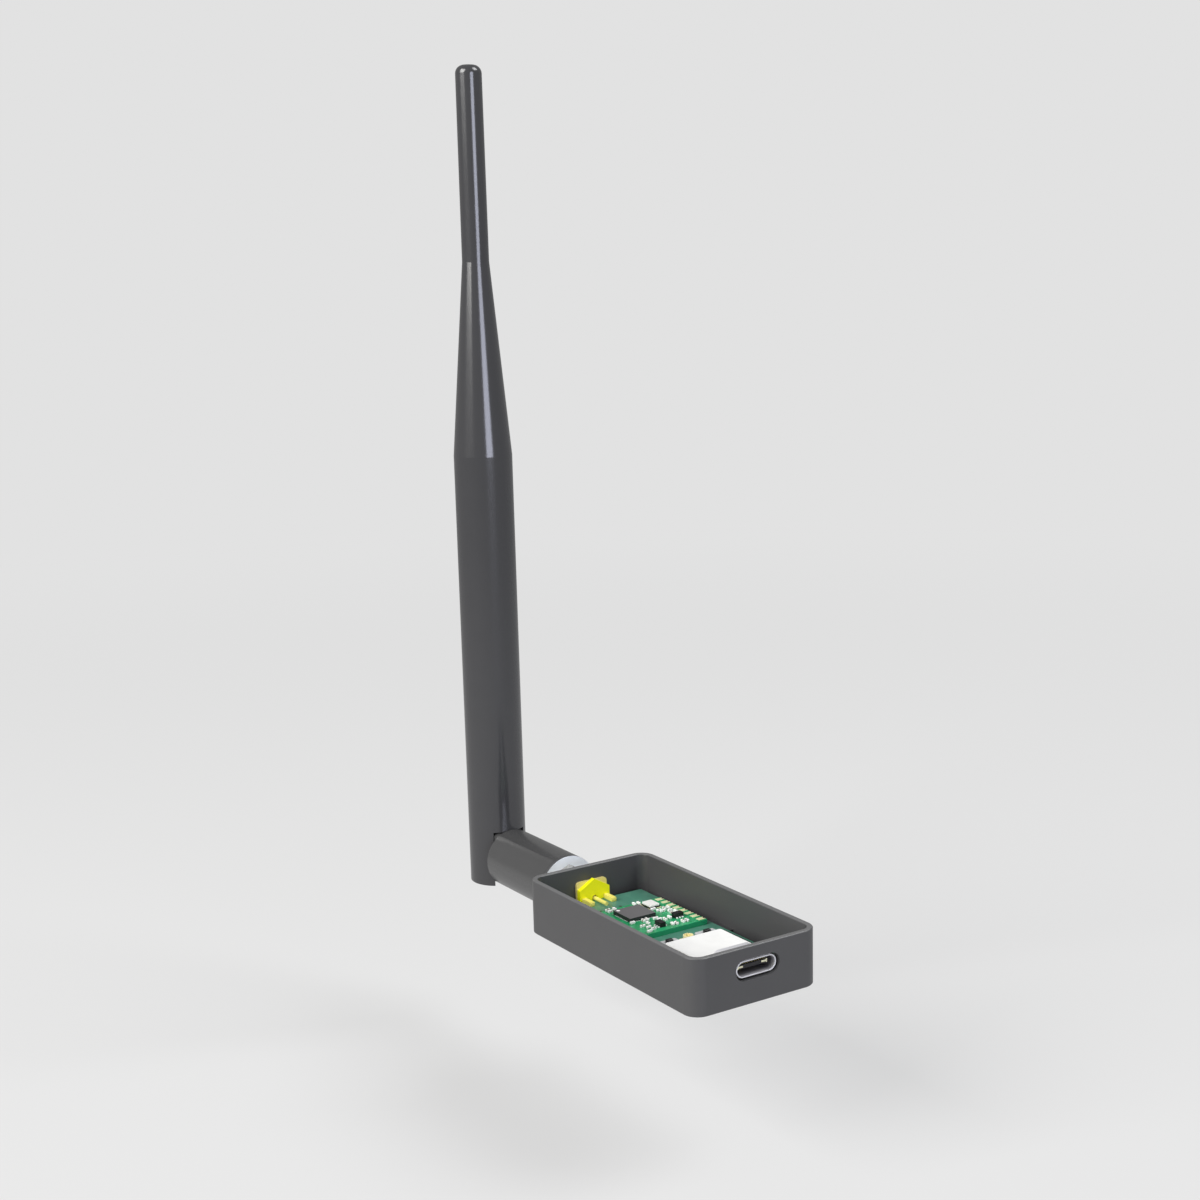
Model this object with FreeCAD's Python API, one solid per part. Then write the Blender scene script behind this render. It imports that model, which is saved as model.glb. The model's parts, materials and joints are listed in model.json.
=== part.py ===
import FreeCAD, Part
import math
import os

# Radio gateway: an open tray with its boards, and a tilting whip antenna on the rear wall.
# Millimetres, +Z up. The origin is the centre of the tray's flat underside.
# X runs across the tray, the USB socket faces -Y and the antenna leaves at +Y.

# Tray
tray_width = 28.2
tray_length = 56.45
tray_height = 10.85
tray_wall = 1.15
tray_floor = 1.2
tray_corner = 3.17
rim_bevel = 0.15
foot_bevel = 0.2
ledge_count = 3
ledge_length = 7.0
ledge_pitch = 19.0
ledge_bearing = 1.3
stop_rise = 1.0
fit_gap = 0.15

# Carrier board
carrier_width = 22.0
carrier_thickness = 1.6
carrier_top = 4.0
carrier_corner = 0.4
front_gap = 0.45
board_hole_radius = 0.35
board_holes = ((2.0, 6.23), (-2.7, 6.33))

# Radio module
module_side = 16.0
module_thickness = 1.0
module_shift = 1.67
module_to_rear = 8.9
layout_grid = 0.1
pad_count = 8
pad_pitch = 2.0
pad_length = 1.6
pad_width = 1.1
pad_thickness = 0.06
notch_radius = 0.3
notch_sides = 8
chip_side = 6.0
chip_height = 0.8
chip_round = 0.12
chip_place = (61, 103)
crystal_width = 2.5
crystal_length = 3.2
crystal_base_height = 0.35
crystal_lid_height = 0.35
crystal_corner = 0.3
crystal_rim = 0.1
crystal_place = (116, 128)
package_length = 2.0
package_width = 1.25
package_height = 0.95
package_stand_off = 0.05
package_lead = 0.35
package_lead_pitch = 0.65
package_lead_width = 0.3
package_lead_thickness = 0.15
small_length = 1.0
small_width = 0.5
small_height = 0.5

# Two switch packages: place on the layout grid, and whether it lies along the module
package_places = (((123, 46), False), ((68, 25), True))

# Small capacitors and resistors on the layout grid: across the module, then along it
across_places = ((106, 105), (112, 94), (115, 86), (129, 80), (81, 60), (84, 51), (37, 39), (43, 27),
                 (32, 8), (46, 15), (32, 66), (32, 145), (32, 154))
along_places = ((126, 95), (135, 96), (124, 66), (135, 70), (93, 45), (106, 49), (55, 63), (64, 64),
                (54, 46), (90, 15), (98, 14), (114, 15), (123, 15), (46, 151), (93, 152), (103, 151))

# Controller board
controller_width = 17.8
controller_length = 21.0
controller_thickness = 1.0
contact_count = 7
contact_pitch = 2.54
contact_width = 0.9
contact_depth = 0.25
contact_web = 0.2
board_corner = 1.0
processor_side = 5.0
processor_height = 0.8
part_row_gap = 0.75
part_column_gap = 0.45

# Shield can soldered over the controller's chip, behind the USB socket
can_width = 12.8
can_height = 1.5
can_wall = 0.2
can_corner = 0.5
can_bevel = 0.12
can_front_gap = 0.45
can_rear_gap = 0.16

# Push switches on the controller board
switch_spread = 4.3
switch_inset = 1.27
switch_length = 4.2
switch_width = 2.5
switch_height = 0.8
plunger_length = 1.3
plunger_width = 0.8
plunger_rise = 0.6
plunger_depth = 0.3
plunger_gap = 0.04
plunger_travel = 0.2
plunger_spare = 0.05

# Micro coax connector
coax_side = 2.5
coax_base_height = 0.35
coax_ring_radius = 1.0
coax_ring_wall = 0.18
coax_ring_height = 0.9
coax_pin_radius = 0.22
coax_pin_height = 0.7

# USB-C socket
usb_width = 8.94
usb_height = 3.16
usb_length = 7.35
usb_wall = 0.3
usb_recess = 0.5
usb_clearance = 0.4
usb_block_length = 2.2
tongue_width = 6.69
tongue_thickness = 0.7
tongue_recess = 1.2
usb_contact_count = 12
usb_contact_pitch = 0.5
usb_contact_width = 0.25
usb_contact_length = 3.4
usb_contact_inset = 0.35
usb_contact_thickness = 0.05
latch_width = 0.3
latch_length = 1.6
latch_reach = 1.3
latch_height = 0.35

# Coaxial socket in the rear wall, quarter-inch fine thread
socket_pin_radius = 0.39
socket_pin_length = 4.3
socket_hex_across = 7.0
socket_hex_thickness = 1.05
plate_side = 7.1
plate_corner = 0.8
plate_thickness = 0.6
thread_radius = 3.175
thread_clearance = 0.06
socket_bore = 2.3
socket_bore_depth = 1.8
socket_insulator_radius = 2.05
pin_relief = 0.25
leg_spacing = 5.08
leg_width = 1.05
leg_height = 0.9
leg_length = 3.2
wall_hole_gap = 0.12
washer_radius = 4.4
washer_thickness = 0.5
nut_across = 8.0
nut_thickness = 1.8

# Antenna plug and coupling nut
nut_running_gap = 0.25
coupling_length = 4.6
coupling_across = 8.0
coupling_lip = 0.45
neck_radius = 2.5
ring_radius = 3.0
ring_thickness = 0.35
ring_gap = 0.1
ferrule_wall = 0.35
ferrule_reach = 1.6
insulator_setback = 0.3
fit_clearance = 0.05
contact_outer = 0.75
contact_inset = 0.5
contact_setback = 0.1
pin_end_gap = 0.2
plug_pin_radius = 0.42
plug_pin_reach = 2.4

# Antenna base
disc_gap = 0.05
disc_thickness = 0.8
base_radius = 6.15
base_length = 22.15
plug_stem_radius = 3.2
plug_stem_length = 9.0
cable_radius = 0.9
cable_clearance = 0.1

# Knuckle: the mast is a fork and the base is a tongue on one cross pin
knuckle_gap = 0.12
knuckle_offset = 2.0
slot_half = 3.65
slot_side_gap = 0.15
slot_ceiling = 5.8
tongue_top_gap = 0.25
tongue_end_radius = 4.0
hinge_pin_radius = 0.8
hinge_pin_half = 4.9
hinge_clearance = 0.05
channel_half = 1.6

# Antenna mast
mast_radius = 6.07
mast_drop = 6.1
cone_start = 90.3
cone_end = 129.6
tip_base_radius = 2.76
tip_radius = 2.66
tip_height = 168.1
tip_round = 1.7
mast_wall = 1.65
ceiling_web = 3.0
tip_bore = 1.6
tip_bore_end = 6.0
tube_gap = 0.02
tube_wall = 0.35
tube_end_gap = 2.3
spacer_length = 3.0
whip_radius = 0.6
whip_end_gap = 5.0
tip_spacer_length = 4.0

# Levels and planes worked out from the driving sizes
socket_z = carrier_top + socket_pin_radius
module_top = carrier_top + module_thickness
controller_top = carrier_top + controller_thickness
inner_x = tray_width / 2 - tray_wall
inner_y = tray_length / 2 - tray_wall
rear_face = tray_length / 2
plate_front = inner_y - plate_thickness
hex_front = plate_front - socket_hex_thickness
carrier_front = -inner_y + front_gap
carrier_rear = hex_front
carrier_bottom = carrier_top - carrier_thickness
module_x0 = module_shift - module_side / 2
module_x1 = module_shift + module_side / 2
module_y1 = carrier_rear - module_to_rear
module_y0 = module_y1 - module_side
controller_y0 = carrier_front
controller_y1 = controller_y0 + controller_length
usb_z = controller_top + usb_height / 2
usb_front = -rear_face + usb_recess
usb_rear = usb_front + usb_length
latch_front = usb_front + tongue_recess
can_front = usb_rear + can_front_gap
switch_y = controller_y1 - switch_inset
can_rear = switch_y - switch_width / 2 - can_rear_gap
washer_rear = rear_face + washer_thickness
nut_rear = washer_rear + nut_thickness
coupling_front = nut_rear + nut_running_gap
coupling_rear = coupling_front + coupling_length
lip_front = coupling_rear - coupling_lip
ring_front = lip_front - ring_gap - ring_thickness
socket_end = ring_front - disc_gap
contact_start = plate_front + contact_inset
contact_end = socket_end - socket_bore_depth - contact_setback
plug_pin_tip = contact_end - plug_pin_reach
disc_front = coupling_rear + disc_gap
base_front = disc_front + disc_thickness
base_end = base_front + base_length
mast_y = base_end + knuckle_gap + mast_radius
mast_bottom = socket_z - mast_drop
ceiling_z = socket_z + slot_ceiling
hinge_y = mast_y + knuckle_offset
hinge_z = socket_z - knuckle_offset
stem_end = disc_front + plug_stem_length
cable_end = base_end + knuckle_gap
bore_start = ceiling_z + ceiling_web
bore_radius = mast_radius - mast_wall
tube_radius = bore_radius - tube_gap
bore_shoulder = cone_start - mast_wall / 2
tube_top = bore_shoulder - tube_end_gap
whip_top = tip_height - tip_bore_end - whip_end_gap

os.makedirs("parts", exist_ok=True)


def vec(x, y, z):
    return FreeCAD.Vector(x, y, z)


def block(x0, x1, y0, y1, z0, z1):
    return Part.makeBox(x1 - x0, y1 - y0, z1 - z0, vec(x0, y0, z0))


def rod_x(radius, x0, x1, y, z):
    return Part.makeCylinder(radius, x1 - x0, vec(x0, y, z), vec(1, 0, 0))


def rod_y(radius, y0, y1, x=0.0, z=socket_z):
    return Part.makeCylinder(radius, y1 - y0, vec(x, y0, z), vec(0, 1, 0))


def rod_z(radius, z0, z1, x, y):
    return Part.makeCylinder(radius, z1 - z0, vec(x, y, z0), vec(0, 0, 1))


def edges_along(shape, axis, keep=None):
    found = []
    for edge in shape.Edges:
        ends = [vertex.Point for vertex in edge.Vertexes]
        if len(ends) != 2:
            continue
        run = ends[1] - ends[0]
        if abs(abs(run.dot(axis)) - run.Length) > 1e-6:
            continue
        if keep is None or keep(edge.CenterOfMass):
            found.append(edge)
    return found


def rounded_block(x0, x1, y0, y1, z0, z1, radius, axis=(0, 0, 1)):
    body = block(x0, x1, y0, y1, z0, z1)
    return body.makeFillet(radius, edges_along(body, vec(*axis)))


def hex_prism(across, y0, y1, z=socket_z):
    corner = across / math.sqrt(3)
    points = []
    for step in range(7):
        angle = math.radians(90 + 60 * step)
        points.append(vec(corner * math.cos(angle), y0, z + corner * math.sin(angle)))
    face = Part.Face(Part.makePolygon(points))
    return face.extrude(vec(0, y1 - y0, 0))


def stadium_y(width, height, y0, y1, z):
    body = block(-width / 2, width / 2, y0, y1, z - height / 2, z + height / 2)
    return body.makeFillet(height / 2 - 0.01, edges_along(body, vec(0, 1, 0)))


def group(pieces):
    return Part.makeCompound(pieces)


def save(name, shape):
    shape.exportStep("parts/" + name + ".step")


# Tray: one moulding with side ledges that carry the board and stops beside its edges
def make_tray():
    half_x = tray_width / 2
    half_y = tray_length / 2
    outer = rounded_block(-half_x, half_x, -half_y, half_y, 0, tray_height, tray_corner)
    foot = [edge for edge in outer.Edges if edge.BoundBox.ZMax < 1e-6]
    outer = outer.makeChamfer(foot_bevel, foot)
    inner_corner = tray_corner - tray_wall
    hollow = rounded_block(-inner_x, inner_x, -inner_y, inner_y, tray_floor, tray_height + 1, inner_corner)
    tray = outer.cut(hollow)
    rim = [edge for edge in tray.Edges if edge.BoundBox.ZMin > tray_height - 1e-6]
    tray = tray.makeChamfer(rim_bevel, rim)
    pieces = []
    for side in (-1, 1):
        for step in range(ledge_count):
            middle = (step - (ledge_count - 1) / 2) * ledge_pitch
            y0 = middle - ledge_length / 2
            y1 = middle + ledge_length / 2
            outer_x = inner_x + tray_wall / 2
            ledge_x = carrier_width / 2 - ledge_bearing
            stop_x = carrier_width / 2 + fit_gap
            for x0, top in ((ledge_x, carrier_bottom), (stop_x, carrier_bottom + stop_rise)):
                low, high = sorted((side * x0, side * outer_x))
                pieces.append(block(low, high, y0, y1, tray_floor - 0.2, top))
    tray = tray.fuse(pieces).removeSplitter()
    hole_radius = thread_radius + wall_hole_gap
    tray = tray.cut(rod_y(hole_radius, inner_y - 1, rear_face + 1))
    mouth_width = usb_width + 2 * usb_clearance
    mouth_height = usb_height + 2 * usb_clearance
    mouth = stadium_y(mouth_width, mouth_height, -rear_face - 1, -inner_y + 1, usb_z)
    return tray.cut(mouth)


def make_carrier():
    half = carrier_width / 2
    board = rounded_block(-half, half, carrier_front, carrier_rear, carrier_bottom, carrier_top,
                          carrier_corner)
    for x, from_rear in board_holes:
        y = carrier_rear - from_rear
        board = board.cut(rod_z(board_hole_radius, carrier_bottom - 1, carrier_top + 1, x, y))
    return board


# Radio module with eight pads down each long side, that wrap over the board's edge
def pad_rows():
    first = module_y0 + (module_side - (pad_count - 1) * pad_pitch) / 2
    return [first + step * pad_pitch for step in range(pad_count)]


def notch_tool(x, y):
    points = []
    for step in range(notch_sides + 1):
        angle = math.radians((step + 0.5) * 360 / notch_sides)
        points.append(vec(x + notch_radius * math.cos(angle), y + notch_radius * math.sin(angle),
                          carrier_top - 1))
    return Part.Face(Part.makePolygon(points)).extrude(vec(0, 0, module_thickness + 2))


def make_module_board():
    board = block(module_x0, module_x1, module_y0, module_y1, carrier_top, module_top)
    return board.cut([notch_tool(x, y) for y in pad_rows() for x in (module_x0, module_x1)])


def make_module_pads():
    pads = []
    for y in pad_rows():
        for x, inward in ((module_x0, 1), (module_x1, -1)):
            low, high = sorted((x, x + inward * pad_length))
            pad = block(low, high, y - pad_width / 2, y + pad_width / 2, module_top,
                        module_top + pad_thickness)
            pads.append(pad.cut(notch_tool(x, y)))
    return group(pads)


# Places on the module are counted in steps of the layout grid from its front left corner
def on_module(place):
    return module_x0 + place[0] * layout_grid, module_y0 + place[1] * layout_grid


def make_radio_chip():
    x, y = on_module(chip_place)
    half = chip_side / 2
    return rounded_block(x - half, x + half, y - half, y + half, module_top, module_top + chip_height,
                         chip_round)


def make_crystal(z0, z1, inset):
    x, y = on_module(crystal_place)
    half_x = crystal_width / 2 - inset
    half_y = crystal_length / 2 - inset
    return rounded_block(x - half_x, x + half_x, y - half_y, y + half_y, z0, z1, crystal_corner)


# A block of a switch package, measured across and along the package
def package_block(place, upright, across0, across1, along0, along1, z0, z1):
    x, y = on_module(place)
    if upright:
        return block(x + across0, x + across1, y + along0, y + along1, z0, z1)
    return block(x + along0, x + along1, y + across0, y + across1, z0, z1)


def make_packages():
    bodies = []
    for place, upright in package_places:
        bodies.append(package_block(place, upright, -package_width / 2, package_width / 2,
                                    -package_length / 2, package_length / 2,
                                    module_top + package_stand_off, module_top + package_height))
    return group(bodies)


def make_package_leads():
    leads = []
    top = module_top + package_stand_off + package_lead_thickness
    for place, upright in package_places:
        for side in (-1, 1):
            edge = side * package_width / 2
            low, high = sorted((edge, edge + side * package_lead))
            for step in (-1, 0, 1):
                start = step * package_lead_pitch - package_lead_width / 2
                leads.append(package_block(place, upright, low, high, start, start + package_lead_width,
                                           module_top, top))
    return group(leads)


def make_small_parts():
    parts = []
    for places, size_x, size_y in ((across_places, small_length, small_width),
                                   (along_places, small_width, small_length)):
        for place in places:
            x, y = on_module(place)
            parts.append(block(x - size_x / 2, x + size_x / 2, y - size_y / 2, y + size_y / 2,
                               module_top, module_top + small_height))
    return group(parts)


# Controller board: gilded contacts are let into its long edges
def contact_places():
    middle = (controller_y0 + controller_y1) / 2
    places = []
    for step in range(contact_count):
        y = middle + (step - (contact_count - 1) / 2) * contact_pitch
        for side in (-1, 1):
            places.append((side, y))
    return places


def contact_tool(side, y, z0, z1):
    edge = side * controller_width / 2
    low, high = sorted((edge, edge - side * contact_depth))
    return block(low, high, y - contact_width / 2, y + contact_width / 2, z0, z1)


def make_controller_board():
    half = controller_width / 2
    board = rounded_block(-half, half, controller_y0, controller_y1, carrier_top, controller_top,
                          board_corner)
    for side, y in contact_places():
        board = board.cut(contact_tool(side, y, carrier_top - 1, controller_top - contact_web))
    return board


def make_controller_contacts():
    return group([contact_tool(side, y, carrier_top, controller_top - contact_web)
                  for side, y in contact_places()])


def make_processor():
    half = processor_side / 2
    middle = (can_front + can_rear) / 2
    return rounded_block(-half, half, middle - half, middle + half, controller_top,
                         controller_top + processor_height, chip_round)


def make_controller_parts():
    parts = []
    middle = (can_front + can_rear) / 2
    for side in (-1, 1):
        for column in range(2):
            x = side * (processor_side / 2 + (column + 1) * (part_column_gap + small_width))
            for row in (-1, 0, 1):
                y = middle + row * (small_length + part_row_gap)
                parts.append(block(x - small_width / 2, x + small_width / 2, y - small_length / 2,
                                   y + small_length / 2, controller_top, controller_top + small_height))
    return group(parts)


def make_shield_can():
    half = can_width / 2
    top = controller_top + can_height
    shell = rounded_block(-half, half, can_front, can_rear, controller_top, top, can_corner)
    shell = shell.makeChamfer(can_bevel, [edge for edge in shell.Edges if edge.BoundBox.ZMin > top - 1e-6])
    inner = half - can_wall
    return shell.cut(rounded_block(-inner, inner, can_front + can_wall, can_rear - can_wall,
                                   controller_top - 1, top - can_wall, can_corner - can_wall))


def make_switch_body(side):
    x = side * switch_spread
    top = controller_top + switch_height
    body = rounded_block(x - switch_length / 2, x + switch_length / 2, switch_y - switch_width / 2,
                         switch_y + switch_width / 2, controller_top, top, 0.3)
    half_x = plunger_length / 2 + plunger_gap
    half_y = plunger_width / 2 + plunger_gap
    well = top - plunger_depth - plunger_travel - plunger_spare
    return body.cut(block(x - half_x, x + half_x, switch_y - half_y, switch_y + half_y, well, top + 1))


def make_plunger(side):
    x = side * switch_spread
    top = controller_top + switch_height
    plunger = block(x - plunger_length / 2, x + plunger_length / 2, switch_y - plunger_width / 2,
                    switch_y + plunger_width / 2, top - plunger_depth, top + plunger_rise)
    crown = [edge for edge in plunger.Edges if edge.BoundBox.ZMin > top + plunger_rise - 1e-6]
    return plunger.makeChamfer(0.1, crown)


# Micro coax connector: base plate, spring ring and pin
def make_coax_base():
    half = coax_side / 2
    return rounded_block(-half, half, switch_y - half, switch_y + half, controller_top,
                         controller_top + coax_base_height, 0.2)


def make_coax_ring():
    z0 = controller_top + coax_base_height
    ring = rod_z(coax_ring_radius, z0, z0 + coax_ring_height, 0, switch_y)
    return ring.cut(rod_z(coax_ring_radius - coax_ring_wall, z0 - 1, z0 + coax_ring_height + 1, 0, switch_y))


def make_coax_pin():
    z0 = controller_top + coax_base_height
    pin = rod_z(coax_pin_radius, z0, z0 + coax_pin_height, 0, switch_y)
    tip = [edge for edge in pin.Edges if edge.BoundBox.ZMin > z0 + coax_pin_height - 1e-6]
    return pin.makeChamfer(coax_pin_radius / 2, tip)


# USB-C socket: drawn shell, insulator block with its tongue, contacts and side latches
def make_usb_shell():
    outer = stadium_y(usb_width, usb_height, usb_front, usb_rear, usb_z)
    inner = stadium_y(usb_width - 2 * usb_wall, usb_height - 2 * usb_wall, usb_front - 1,
                      usb_rear + 1, usb_z)
    return outer.cut(inner)


def make_usb_insulator():
    block_front = usb_rear - usb_block_length
    plug = stadium_y(usb_width - 2 * usb_wall, usb_height - 2 * usb_wall, block_front, usb_rear, usb_z)
    half = tongue_width / 2
    tongue = block(-half, half, latch_front, block_front, usb_z - tongue_thickness / 2,
                   usb_z + tongue_thickness / 2)
    for side in (-1, 1):
        tongue = tongue.cut(latch_tool(side))
    return plug.fuse(tongue).removeSplitter()


# Each latch is an ear down the tongue's side with a foot round its front corner
def latch_tool(side):
    edge = side * tongue_width / 2
    low, high = sorted((edge, edge - side * latch_width))
    ear = block(low, high, latch_front, latch_front + latch_length, usb_z - tongue_thickness / 2,
                usb_z + tongue_thickness / 2)
    low, high = sorted((edge, edge - side * latch_reach))
    foot = block(low, high, latch_front, latch_front + latch_width, usb_z - latch_height / 2,
                 usb_z + latch_height / 2)
    return ear.fuse(foot).removeSplitter()


def make_usb_contacts():
    strips = []
    y0 = latch_front + usb_contact_inset
    for index in range(usb_contact_count):
        x = (index - (usb_contact_count - 1) / 2) * usb_contact_pitch
        for side in (-1, 1):
            face = usb_z + side * tongue_thickness / 2
            low, high = sorted((face, face + side * usb_contact_thickness))
            strips.append(block(x - usb_contact_width / 2, x + usb_contact_width / 2, y0,
                                y0 + usb_contact_length, low, high))
    return group(strips)


# Coaxial socket: yellow hex body with its threaded shank through the rear wall.
# The hex and its plate are milled flat below, just clear of the tray's floor.
def floor_tool():
    reach = tray_width / 2
    top = tray_floor + fit_gap
    return block(-reach, reach, hex_front - 1, rear_face, top - tray_height, top)


def make_socket_body():
    body = hex_prism(socket_hex_across, hex_front, plate_front).cut(floor_tool())
    body = body.fuse(rod_y(thread_radius, plate_front, socket_end)).removeSplitter()
    body = body.cut(rod_y(socket_pin_radius + pin_relief, hex_front - 1, hex_front + socket_hex_thickness))
    body = body.cut(rod_y(socket_insulator_radius, plate_front, socket_end + 1))
    return body.cut(rod_y(socket_bore, socket_end - socket_bore_depth, socket_end + 1))


def make_socket_plate():
    half = plate_side / 2
    plate = rounded_block(-half, half, plate_front, inner_y, socket_z - half, socket_z + half,
                          plate_corner, (0, 1, 0)).cut(floor_tool())
    return plate.cut(rod_y(thread_radius + thread_clearance, plate_front - 1, inner_y + 1))


def make_socket_legs():
    legs = []
    for side in (-1, 1):
        x = side * leg_spacing / 2
        legs.append(block(x - leg_width / 2, x + leg_width / 2, hex_front - leg_length, hex_front,
                          carrier_top, carrier_top + leg_height))
    return group(legs)


def make_socket_pin():
    pin = rod_y(socket_pin_radius, hex_front - socket_pin_length, contact_start)
    pin = pin.fuse(rod_y(contact_outer, contact_start, contact_end)).removeSplitter()
    bore = plug_pin_radius + fit_clearance
    return pin.cut(rod_y(bore, plug_pin_tip - pin_end_gap, contact_end + 1))


def make_socket_insulator():
    end = socket_end - socket_bore_depth
    core = rod_y(socket_insulator_radius, plate_front, end)
    core = core.cut(rod_y(contact_outer, contact_start, end + 1))
    return core.cut(rod_y(socket_pin_radius, plate_front - 1, contact_start))


def make_wall_washer():
    washer = rod_y(washer_radius, rear_face, washer_rear)
    return washer.cut(rod_y(thread_radius + thread_clearance, rear_face - 1, washer_rear + 1))


def make_wall_nut():
    nut = hex_prism(nut_across, washer_rear, nut_rear)
    nut = nut.common(chamfer_core(nut_across, washer_rear, nut_rear))
    return nut.cut(rod_y(thread_radius + thread_clearance, washer_rear - 1, nut_rear + 1))


# Turned corners of a hex: the common part with a barrel that is bevelled at both ends
def chamfer_core(across, y0, y1):
    corner = across / math.sqrt(3)
    low = across / 2
    bevel = (corner - low) * math.tan(math.radians(30))
    profile = [vec(0, y0, socket_z), vec(0, y0, socket_z + low), vec(0, y0 + bevel, socket_z + corner),
               vec(0, y1 - bevel, socket_z + corner), vec(0, y1, socket_z + low), vec(0, y1, socket_z)]
    face = Part.Face(Part.makePolygon(profile + profile[:1]))
    return face.revolve(vec(0, 0, socket_z), vec(0, 1, 0), 360)


# Coupling nut: it turns freely on the plug's neck, held by the retaining ring
def make_coupling_nut():
    nut = hex_prism(coupling_across, coupling_front, coupling_rear)
    nut = nut.common(chamfer_core(coupling_across, coupling_front, coupling_rear))
    nut = nut.cut(rod_y(thread_radius + thread_clearance, coupling_front - 1, lip_front))
    return nut.cut(rod_y(neck_radius + fit_clearance, lip_front - 1, coupling_rear + 1))


def make_plug_body():
    ferrule = socket_bore - fit_clearance
    body = rod_y(ferrule, ring_front - ferrule_reach, ring_front)
    body = body.fuse(rod_y(neck_radius, ring_front, disc_front))
    body = body.fuse(rod_y(plug_stem_radius, disc_front, stem_end)).removeSplitter()
    return body.cut(rod_y(ferrule - ferrule_wall, ring_front - ferrule_reach - 1, stem_end + 1))


def make_retaining_ring():
    ring = rod_y(ring_radius, ring_front, ring_front + ring_thickness)
    return ring.cut(rod_y(neck_radius, ring_front - 1, lip_front))


def make_end_disc():
    disc = rod_y(base_radius, disc_front, base_front)
    return disc.cut(rod_y(plug_stem_radius, disc_front - 1, base_front + 1))


def make_plug_insulator():
    radius = socket_bore - fit_clearance - ferrule_wall
    core = rod_y(radius, ring_front - ferrule_reach + insulator_setback, stem_end)
    return core.cut(rod_y(plug_pin_radius, ring_front - ferrule_reach - 1, stem_end + 1))


def make_plug_pin():
    pin = rod_y(plug_pin_radius, plug_pin_tip, stem_end)
    nose = [edge for edge in pin.Edges if edge.BoundBox.YMax < plug_pin_tip + 1e-6]
    return pin.makeChamfer(plug_pin_radius / 2, nose)


# Base barrel: a turned barrel that goes on as a tongue, rounded about the hinge to clear the slot
def make_base_barrel():
    barrel = rod_y(base_radius, base_front, base_end)
    half = slot_half - slot_side_gap
    top = ceiling_z - tongue_top_gap
    low = hinge_z - tongue_end_radius
    back = hinge_y + tongue_end_radius
    swing = rod_x(top - hinge_z, -half, half, hinge_y, hinge_z)
    rear = block(-half, half, hinge_y, back, hinge_z, top).common(swing)
    heel = rod_x(tongue_end_radius, -half, half, hinge_y, hinge_z)
    tongue = block(-half, half, base_end - 1, hinge_y, low, top).fuse(rear).fuse(heel)
    tongue = tongue.common(rod_y(base_radius, base_end - 1, back))
    barrel = barrel.fuse(tongue).removeSplitter()
    barrel = barrel.cut(rod_y(plug_stem_radius, base_front - 1, stem_end))
    barrel = barrel.cut(rod_y(cable_radius + cable_clearance, stem_end - 1, cable_end))
    channel = block(-channel_half, channel_half, base_end + knuckle_gap, back + 1,
                    socket_z - cable_radius - cable_clearance, ceiling_z + 1)
    barrel = barrel.cut(channel)
    return barrel.cut(rod_x(hinge_pin_radius, -base_radius, base_radius, hinge_y, hinge_z))


def make_base_cable():
    return rod_y(cable_radius, stem_end, cable_end)


def make_hinge_pin():
    return rod_x(hinge_pin_radius, -hinge_pin_half, hinge_pin_half, hinge_y, hinge_z)


# Mast: one moulded sleeve, straight, then a cone, then a slim round-tipped end
def make_mast_sleeve():
    outline = [vec(0, mast_y, mast_bottom), vec(mast_radius, mast_y, mast_bottom),
               vec(mast_radius, mast_y, cone_start), vec(tip_base_radius, mast_y, cone_end),
               vec(tip_radius, mast_y, tip_height), vec(0, mast_y, tip_height)]
    face = Part.Face(Part.makePolygon(outline + outline[:1]))
    sleeve = face.revolve(vec(0, mast_y, 0), vec(0, 0, 1), 360)
    tip = [edge for edge in sleeve.Edges
           if edge.BoundBox.ZMin > tip_height - 1e-6 and edge.BoundBox.XLength > tip_radius]
    sleeve = sleeve.makeFillet(tip_round, tip)
    hollow = [vec(0, mast_y, bore_start), vec(bore_radius, mast_y, bore_start),
              vec(bore_radius, mast_y, bore_shoulder), vec(tip_bore, mast_y, cone_end - mast_wall),
              vec(tip_bore, mast_y, tip_height - tip_bore_end), vec(0, mast_y, tip_height - tip_bore_end)]
    core = Part.Face(Part.makePolygon(hollow + hollow[:1]))
    sleeve = sleeve.cut(core.revolve(vec(0, mast_y, 0), vec(0, 0, 1), 360))
    sleeve = sleeve.cut(rod_z(cable_radius + cable_clearance, ceiling_z - 1, bore_start + 1, 0, mast_y))
    slot = block(-slot_half, slot_half, mast_y - mast_radius - 1, mast_y + mast_radius + 1,
                 mast_bottom - 1, ceiling_z)
    sleeve = sleeve.cut(slot)
    socket = hinge_pin_half + hinge_clearance
    return sleeve.cut(rod_x(hinge_pin_radius + hinge_clearance, -socket, socket, hinge_y, hinge_z))


def make_ground_tube():
    tube = rod_z(tube_radius, bore_start, tube_top, 0, mast_y)
    return tube.cut(rod_z(tube_radius - tube_wall, bore_start - 1, tube_top + 1, 0, mast_y))


def make_mast_cable():
    return rod_z(cable_radius, ceiling_z, tube_top, 0, mast_y)


def make_tube_spacer(z0):
    ring = rod_z(tube_radius - tube_wall, z0, z0 + spacer_length, 0, mast_y)
    return ring.cut(rod_z(cable_radius, z0 - 1, z0 + spacer_length + 1, 0, mast_y))


def make_whip():
    return rod_z(whip_radius, tube_top, whip_top, 0, mast_y)


def make_tip_spacer():
    z0 = cone_end + tip_spacer_length
    ring = rod_z(tip_bore, z0, z0 + tip_spacer_length, 0, mast_y)
    return ring.cut(rod_z(whip_radius, z0 - 1, z0 + tip_spacer_length + 1, 0, mast_y))


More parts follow.
